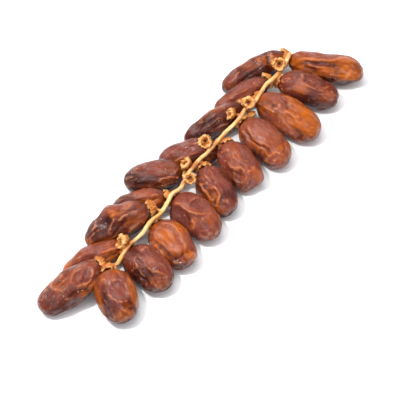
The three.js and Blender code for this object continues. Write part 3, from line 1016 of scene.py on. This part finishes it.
def lobed(form, lobes, seed, cut, spread, reach):
    """Cuts the rim of a turned form into uneven lobes; gives its rim share and the share of its inside
    that takes painted shade.
    """
    points = positions(form)
    chance = random.Random(seed)
    start = chance.uniform(0, math.tau)
    turn = np.arctan2(points[:, 1], points[:, 0])
    radius = np.hypot(points[:, 0], points[:, 1])
    high = points[:, 2].max()
    rim = smooth_rise(points[:, 2] / reach, 0.0, high / reach)
    rim *= smooth_rise(radius / radius.max(), 0.55, 0.8)
    wave = np.cos(lobes * turn + start)
    uneven = np.cos(turn * 2 + start * 3) * 0.5 + np.cos(turn + start * 5) * 0.5
    notch = smooth_rise(-wave, 0.1, 0.95)
    points[:, 2] -= rim * notch * cut * (1 + 0.8 * uneven)
    scale = 1 + rim * (spread * (0.5 + 0.5 * wave) + 0.16 * uneven) - rim * notch * 0.08
    points[:, 0] *= scale
    points[:, 1] *= scale
    crumple = lasting_noise(points, (1.4, 1.4, 1.4), seed) * 1.2
    crumple += lasting_noise(points, (0.8, 0.8, 0.8), seed + 0.2) * 0.9
    crumple += lasting_noise(points, (0.4, 0.4, 0.4), seed + 0.5) * 0.8
    normals = normals_of(form)
    points += normals * crumple[:, None]
    # Painted shade: the bottom of a cup's inside, where it turns up, is marked to be darkened.
    hollow_shade = smooth_rise(0.42 - radius / radius.max(), 0.0, 0.16)
    hollow_shade *= smooth_rise(normals[:, 2], 0.0, 0.6)
    move_to(form, points)
    return rim, hollow_shade


def set_on(form, middle, axis):
    """Turns a form's own height to an axis and puts it at its middle."""
    turn = Vector((0, 0, 1)).rotation_difference(Vector(axis)).to_matrix().to_4x4()
    place = Matrix.Translation(Vector(middle * MM))
    bmesh.ops.transform(form, matrix=place @ turn, verts=form.verts)


# ---- Settings ----


class DateSkinSettings(bpy.types.PropertyGroup):
    """Shape and colours of the dates."""

    fineness: IntProperty(
        name="Fineness", description="Times each skin is divided", default=6, min=3, max=7
    )
    evening: IntProperty(
        name="Evening", description="Smoothing passes over the solid", default=26, min=0
    )
    fullness: FloatProperty(
        name="Fullness", description="Millimetres the skin stands out", default=0.3
    )
    shoulder: FloatProperty(
        name="Shoulder", description="Millimetres more at the cap's end", default=1.2
    )
    wrinkle: FloatProperty(
        name="Wrinkles", description="Depth of the pinches", default=0.7
    )
    # Amount of wax and painted sheen laid on the faces that turn up.
    wax_and_sheen: FloatProperty(
        name="Haze", description="Amount of wax on upper faces", default=0.6
    )
    body: FloatVectorProperty(
        name="Body", description="Skin in the shade", subtype="COLOR", default=(0.056, 0.0052, 0.001)
    )
    warm: FloatVectorProperty(
        name="Warm", description="Skin in the light", subtype="COLOR", default=(0.175, 0.020, 0.001)
    )
    # Orange skin, also laid as painted glow along the edges.
    amber_and_glow: FloatVectorProperty(
        name="Amber", description="Thin clear skin", subtype="COLOR", default=(0.49, 0.108, 0.001)
    )
    # Painted shade in the creases and along the crackle lines.
    hollow_shade: FloatVectorProperty(
        name="Hollow", description="Skin in creases", subtype="COLOR", default=(0.026, 0.0026, 0.0008)
    )
    # Dark skin, also laid as painted shade on faces that turn down.
    shade: FloatVectorProperty(
        name="Shade", description="Darkest skin", subtype="COLOR", default=(0.028, 0.0028, 0.0018)
    )
    # Wax, also laid as painted sheen on the faces that turn up.
    bloom_and_sheen: FloatVectorProperty(
        name="Bloom", description="Wax on the skin", subtype="COLOR", default=(0.225, 0.053, 0.034)
    )
    flake: FloatVectorProperty(
        name="Flake", description="Specks of wax", subtype="COLOR", default=(0.82, 0.58, 0.42)
    )
    # Painted highlight on the ridges.
    ridge_highlight: FloatVectorProperty(
        name="Crest", description="Skin on ridges", subtype="COLOR", default=(0.64, 0.21, 0.072)
    )


class HuskSettings(bpy.types.PropertyGroup):
    """Shape and colours of the caps and empty cups."""

    sides: IntProperty(name="Sides", description="Steps round a cap", default=36, min=12)
    cut: FloatProperty(
        name="Cut", description="Millimetres cut between the lobes", default=0.7
    )
    husk: FloatVectorProperty(
        name="Husk", description="Orange husk", subtype="COLOR", default=(0.40, 0.11, 0.012)
    )
    straw: FloatVectorProperty(
        name="Straw", description="Straw-coloured husk", subtype="COLOR", default=(0.56, 0.20, 0.030)
    )
    pale: FloatVectorProperty(
        name="Pale", description="Bleached rims", subtype="COLOR", default=(0.84, 0.50, 0.19)
    )
    # Painted shade inside the cups.
    pit_shade: FloatVectorProperty(
        name="Pit", description="Inside of a cup", subtype="COLOR", default=(0.11, 0.03, 0.008)
    )


class TwigSettings(bpy.types.PropertyGroup):
    """Shape and colours of the strand."""

    voxel: FloatProperty(
        name="Voxel", description="Size of a remesh step, in metres", default=0.0003,
        unit="LENGTH", precision=5,
    )
    wood: FloatVectorProperty(
        name="Wood", description="Pale wood", subtype="COLOR", default=(0.88, 0.62, 0.29)
    )
    gold: FloatVectorProperty(
        name="Gold", description="Golden wood", subtype="COLOR", default=(0.68, 0.34, 0.075)
    )
    fibre: FloatVectorProperty(
        name="Fibre", description="Bleached fibres", subtype="COLOR", default=(0.93, 0.74, 0.42)
    )
    scar: FloatVectorProperty(
        name="Scar", description="Wood at the joints", subtype="COLOR", default=(0.42, 0.12, 0.025)
    )


class StageSettings(bpy.types.PropertyGroup):
    """Table, light and camera."""

    floor: FloatVectorProperty(
        name="Floor", description="Table colour", subtype="COLOR", default=(0.96, 0.96, 0.97)
    )
    sky: FloatProperty(name="Sky", description="Light from all round", default=0.84)
    key: FloatProperty(name="Key", description="Main lamp", default=7.6, unit="POWER")
    glint: FloatProperty(
        name="Glint", description="Small sharp lamp", default=5.5, unit="POWER"
    )
    fill: FloatProperty(name="Fill", description="Front lamp", default=1.0, unit="POWER")
    azimuth: FloatProperty(
        name="Azimuth", description="Way round to the camera, in degrees", default=31.756
    )
    elevation: FloatProperty(
        name="Elevation", description="Camera above the table, in degrees", default=50.0
    )
    distance: FloatProperty(
        name="Distance", description="Camera to the bunch", default=0.92, unit="LENGTH"
    )
    aim: FloatVectorProperty(
        name="Aim", description="Where the camera looks", subtype="XYZ", unit="LENGTH",
        default=(0.00371, -0.01114, 0.0),
    )
    lens: FloatProperty(name="Lens", description="Focal length, in mm", default=138.0)


# ---- Operators ----


class BUNCH_OT_dates(bpy.types.Operator):
    """Draw a wrinkled skin over every date"""

    bl_idname = "bunch.dates"
    bl_label = "Date Skins"

    def execute(self, context):
        settings = context.scene.date_skins
        material = skin_material(settings)
        for number, node in enumerate(DATES):
            form, attributes = date_skin_form(node, number * 1.7 + 3, settings)
            put_in_scene(
                form, node + "_skin", material, [node], attributes
            )
        return {"FINISHED"}


class BUNCH_OT_caps(bpy.types.Operator):
    """Set a lobed cap of dry husk on every date"""

    bl_idname = "bunch.caps"
    bl_label = "Date Caps"

    def execute(self, context):
        settings = context.scene.date_husks
        material = bpy.data.materials.get("cap_husk") or husk_material(settings)
        for number, node in enumerate(CAPS):
            date = middle_of(vertices_mm(node.replace("cap_", "date_")))
            lean = date - middle_of(vertices_mm(node))
            middle, axis = axis_of(node, lean)
            form = turned_form(CAP_OUTLINE, settings.sides)
            rim, _ = lobed(form, 6, number + 5, settings.cut, 0.1, 1.0)
            set_on(form, middle - axis * CAP_DRAW_BACK, axis)
            put_in_scene(
                form,
                node + "_husk",
                material,
                [node],
                {"rim": rim, "hollow_shade": np.zeros_like(rim)},
            )
        return {"FINISHED"}


class BUNCH_OT_cups(bpy.types.Operator):
    """Put a lobed empty cup where each lost date hung"""

    bl_idname = "bunch.cups"
    bl_label = "Empty Cups"

    def execute(self, context):
        settings = context.scene.date_husks
        material = bpy.data.materials.get("cap_husk") or husk_material(settings)
        strand = vertices_mm(STRAND)
        for number, node in enumerate(CUPS):
            points = vertices_mm(node)
            middle = middle_of(points)
            near = strand[np.argsort(np.linalg.norm(strand - middle, axis=1))[:12]]
            middle, axis = axis_of(node, middle - near.mean(axis=0))
            radius = np.linalg.norm(points - middle, axis=1).max() / 1.1
            outline = [(r * radius, h * radius) for r, h in CUP_OUTLINE]
            form = turned_form(outline, settings.sides)
            rim, hollow_shade = lobed(form, 3, number + 40, settings.cut * 0.8, 0.12, 1.0)
            set_on(form, middle, axis)
            put_in_scene(
                form,
                node + "_husk",
                material,
                [node],
                {"rim": rim, "hollow_shade": hollow_shade},
            )
        return {"FINISHED"}


class BUNCH_OT_strand(bpy.types.Operator):
    """Grow the knobbly strand over its CAD solid"""

    bl_idname = "bunch.strand"
    bl_label = "Fruiting Strand"

    def execute(self, context):
        settings = context.scene.date_twig
        rough = bpy.data.meshes.new("strand_rough")
        solid = merged_copy(STRAND)
        solid.to_mesh(rough)
        solid.free()
        holder = bpy.data.objects.new("strand_rough", rough)
        context.scene.collection.objects.link(holder)
        remesh = holder.modifiers.new("Even", "REMESH")
        remesh.mode = "VOXEL"
        remesh.voxel_size = settings.voxel
        view = context.evaluated_depsgraph_get()
        even = bpy.data.meshes.new_from_object(holder.evaluated_get(view))
        bpy.data.objects.remove(holder)
        bpy.data.meshes.remove(rough)
        form = bmesh.new()
        form.from_mesh(even)
        bpy.data.meshes.remove(even)
        smoothed(form, 4)
        points, normals = positions(form), normals_of(form)
        joint = np.zeros(len(points))
        for node in CAPS + CUPS:
            away = np.linalg.norm(points - middle_of(vertices_mm(node)), axis=1)
            joint = np.maximum(joint, smooth_rise(9.0 - away, 0.0, 5.0))
        knobs = lasting_noise(points, (0.28, 0.28, 0.28), 2)
        fibres = lasting_noise(points, (1.1, 0.22, 1.1), 4)
        points += normals * (knobs * 0.3 + fibres * 0.12 + joint * 0.1 - 0.12)[:, None]
        points[:, 2] = np.maximum(points[:, 2], 0.0)
        move_to(form, points)
        put_in_scene(
            form,
            "fruiting_strand_wood",
            twig_material(settings),
            [STRAND],
            {"joint": joint},
        )
        return {"FINISHED"}


def area_lamp(name, place, aim, size, power, colour):
    """A round soft lamp at a place, aimed at a point."""
    data = bpy.data.lights.new(name, "AREA")
    data.shape = "DISK"
    data.size = size
    data.energy = power
    data.color = colour
    lamp = bpy.data.objects.new(name, data)
    lamp.location = place
    lamp.rotation_mode = "QUATERNION"
    lamp.rotation_quaternion = (aim - place).to_track_quat("-Z", "Y")
    bpy.context.scene.collection.objects.link(lamp)
    return lamp


class BUNCH_OT_stage(bpy.types.Operator):
    """Lay the pale table and set the lamps and the camera"""

    bl_idname = "bunch.stage"
    bl_label = "Table, Lamps and Camera"

    def execute(self, context):
        settings = context.scene.date_stage
        material, _, shader = new_material("table_top")
        shader.inputs["Base Color"].default_value = rgba(settings.floor)
        shader.inputs["Roughness"].default_value = 0.9
        form = bmesh.new()
        bmesh.ops.create_grid(form, x_segments=1, y_segments=1, size=4.0)
        mesh = bpy.data.meshes.new("table_top")
        form.to_mesh(mesh)
        form.free()
        mesh.materials.append(material)
        table = bpy.data.objects.new("table_top", mesh)
        context.scene.collection.objects.link(table)

        world = bpy.data.worlds.new("soft_room")
        world.use_nodes = True
        world.node_tree.nodes["Background"].inputs["Color"].default_value = (0.95, 0.96, 1, 1)
        world.node_tree.nodes["Background"].inputs["Strength"].default_value = settings.sky
        context.scene.world = world

        aim = Vector(settings.aim)
        turn = math.radians(settings.azimuth)
        right = Vector((math.cos(turn), math.sin(turn), 0))
        away = Vector((-math.sin(turn), math.cos(turn), 0))
        up = Vector((0, 0, 1))
        area_lamp(
            "key_lamp", aim - right * 0.24 + away * 0.12 + up * 1.0, aim, 1.05,
            settings.key, (1.0, 0.98, 0.96),
        )
        area_lamp(
            "glint_lamp", aim - right * 0.38 - away * 0.12 + up * 0.86, aim, 0.055,
            settings.glint, (1.0, 0.98, 0.95),
        )
        area_lamp(
            "fill_lamp", aim + right * 0.5 - away * 0.9 + up * 0.6, aim, 0.9,
            settings.fill, (1.0, 0.97, 0.94),
        )
        tilt = math.radians(settings.elevation)
        back = -away * math.cos(tilt) + up * math.sin(tilt)
        data = bpy.data.cameras.new("camera")
        data.lens = settings.lens
        data.sensor_width = 36.0
        data.clip_start = 0.05
        data.clip_end = 20.0
        camera = bpy.data.objects.new("camera", data)
        camera.location = aim + back * settings.distance
        camera.rotation_mode = "QUATERNION"
        camera.rotation_quaternion = (-back).to_track_quat("-Z", "Y")
        context.scene.collection.objects.link(camera)
        context.scene.camera = camera
        context.scene.view_settings.view_transform = "Standard"
        return {"FINISHED"}


class BUNCH_PT_panel(bpy.types.Panel):
    """Sizes, colours and steps of the date bunch"""

    bl_idname = "BUNCH_PT_panel"
    bl_label = "Date Bunch"
    bl_space_type = "VIEW_3D"
    bl_region_type = "UI"
    bl_category = "Dates"

    def draw(self, context):
        for group, operators in PANEL_ROWS:
            box = self.layout.box()
            settings = getattr(context.scene, group)
            for key in settings.bl_rna.properties.keys():
                if key not in ("rna_type", "name"):
                    box.prop(settings, key)
            for operator in operators:
                box.operator(operator)


SETTINGS = {
    "date_skins": DateSkinSettings,
    "date_husks": HuskSettings,
    "date_twig": TwigSettings,
    "date_stage": StageSettings,
}
OPERATORS = (
    BUNCH_OT_dates,
    BUNCH_OT_caps,
    BUNCH_OT_cups,
    BUNCH_OT_strand,
    BUNCH_OT_stage,
)
PANEL_ROWS = (
    ("date_skins", ("bunch.dates",)),
    ("date_husks", ("bunch.caps", "bunch.cups")),
    ("date_twig", ("bunch.strand",)),
    ("date_stage", ("bunch.stage",)),
)


def register():
    """Registers the settings, operators and panel."""
    for name, group in SETTINGS.items():
        bpy.utils.register_class(group)
        setattr(bpy.types.Scene, name, PointerProperty(type=group))
    for operator in OPERATORS:
        bpy.utils.register_class(operator)
    bpy.utils.register_class(BUNCH_PT_panel)


def unregister():
    """Takes the panel, operators and settings out again."""
    bpy.utils.unregister_class(BUNCH_PT_panel)
    for operator in reversed(OPERATORS):
        bpy.utils.unregister_class(operator)
    for name, group in SETTINGS.items():
        delattr(bpy.types.Scene, name)
        bpy.utils.unregister_class(group)


def main():
    """Builds every piece and the stage."""
    register()
    bpy.ops.bunch.dates()
    bpy.ops.bunch.caps()
    bpy.ops.bunch.cups()
    bpy.ops.bunch.strand()
    bpy.ops.bunch.stage()
    bpy.context.view_layer.update()


if __name__ == "__main__":
    main()
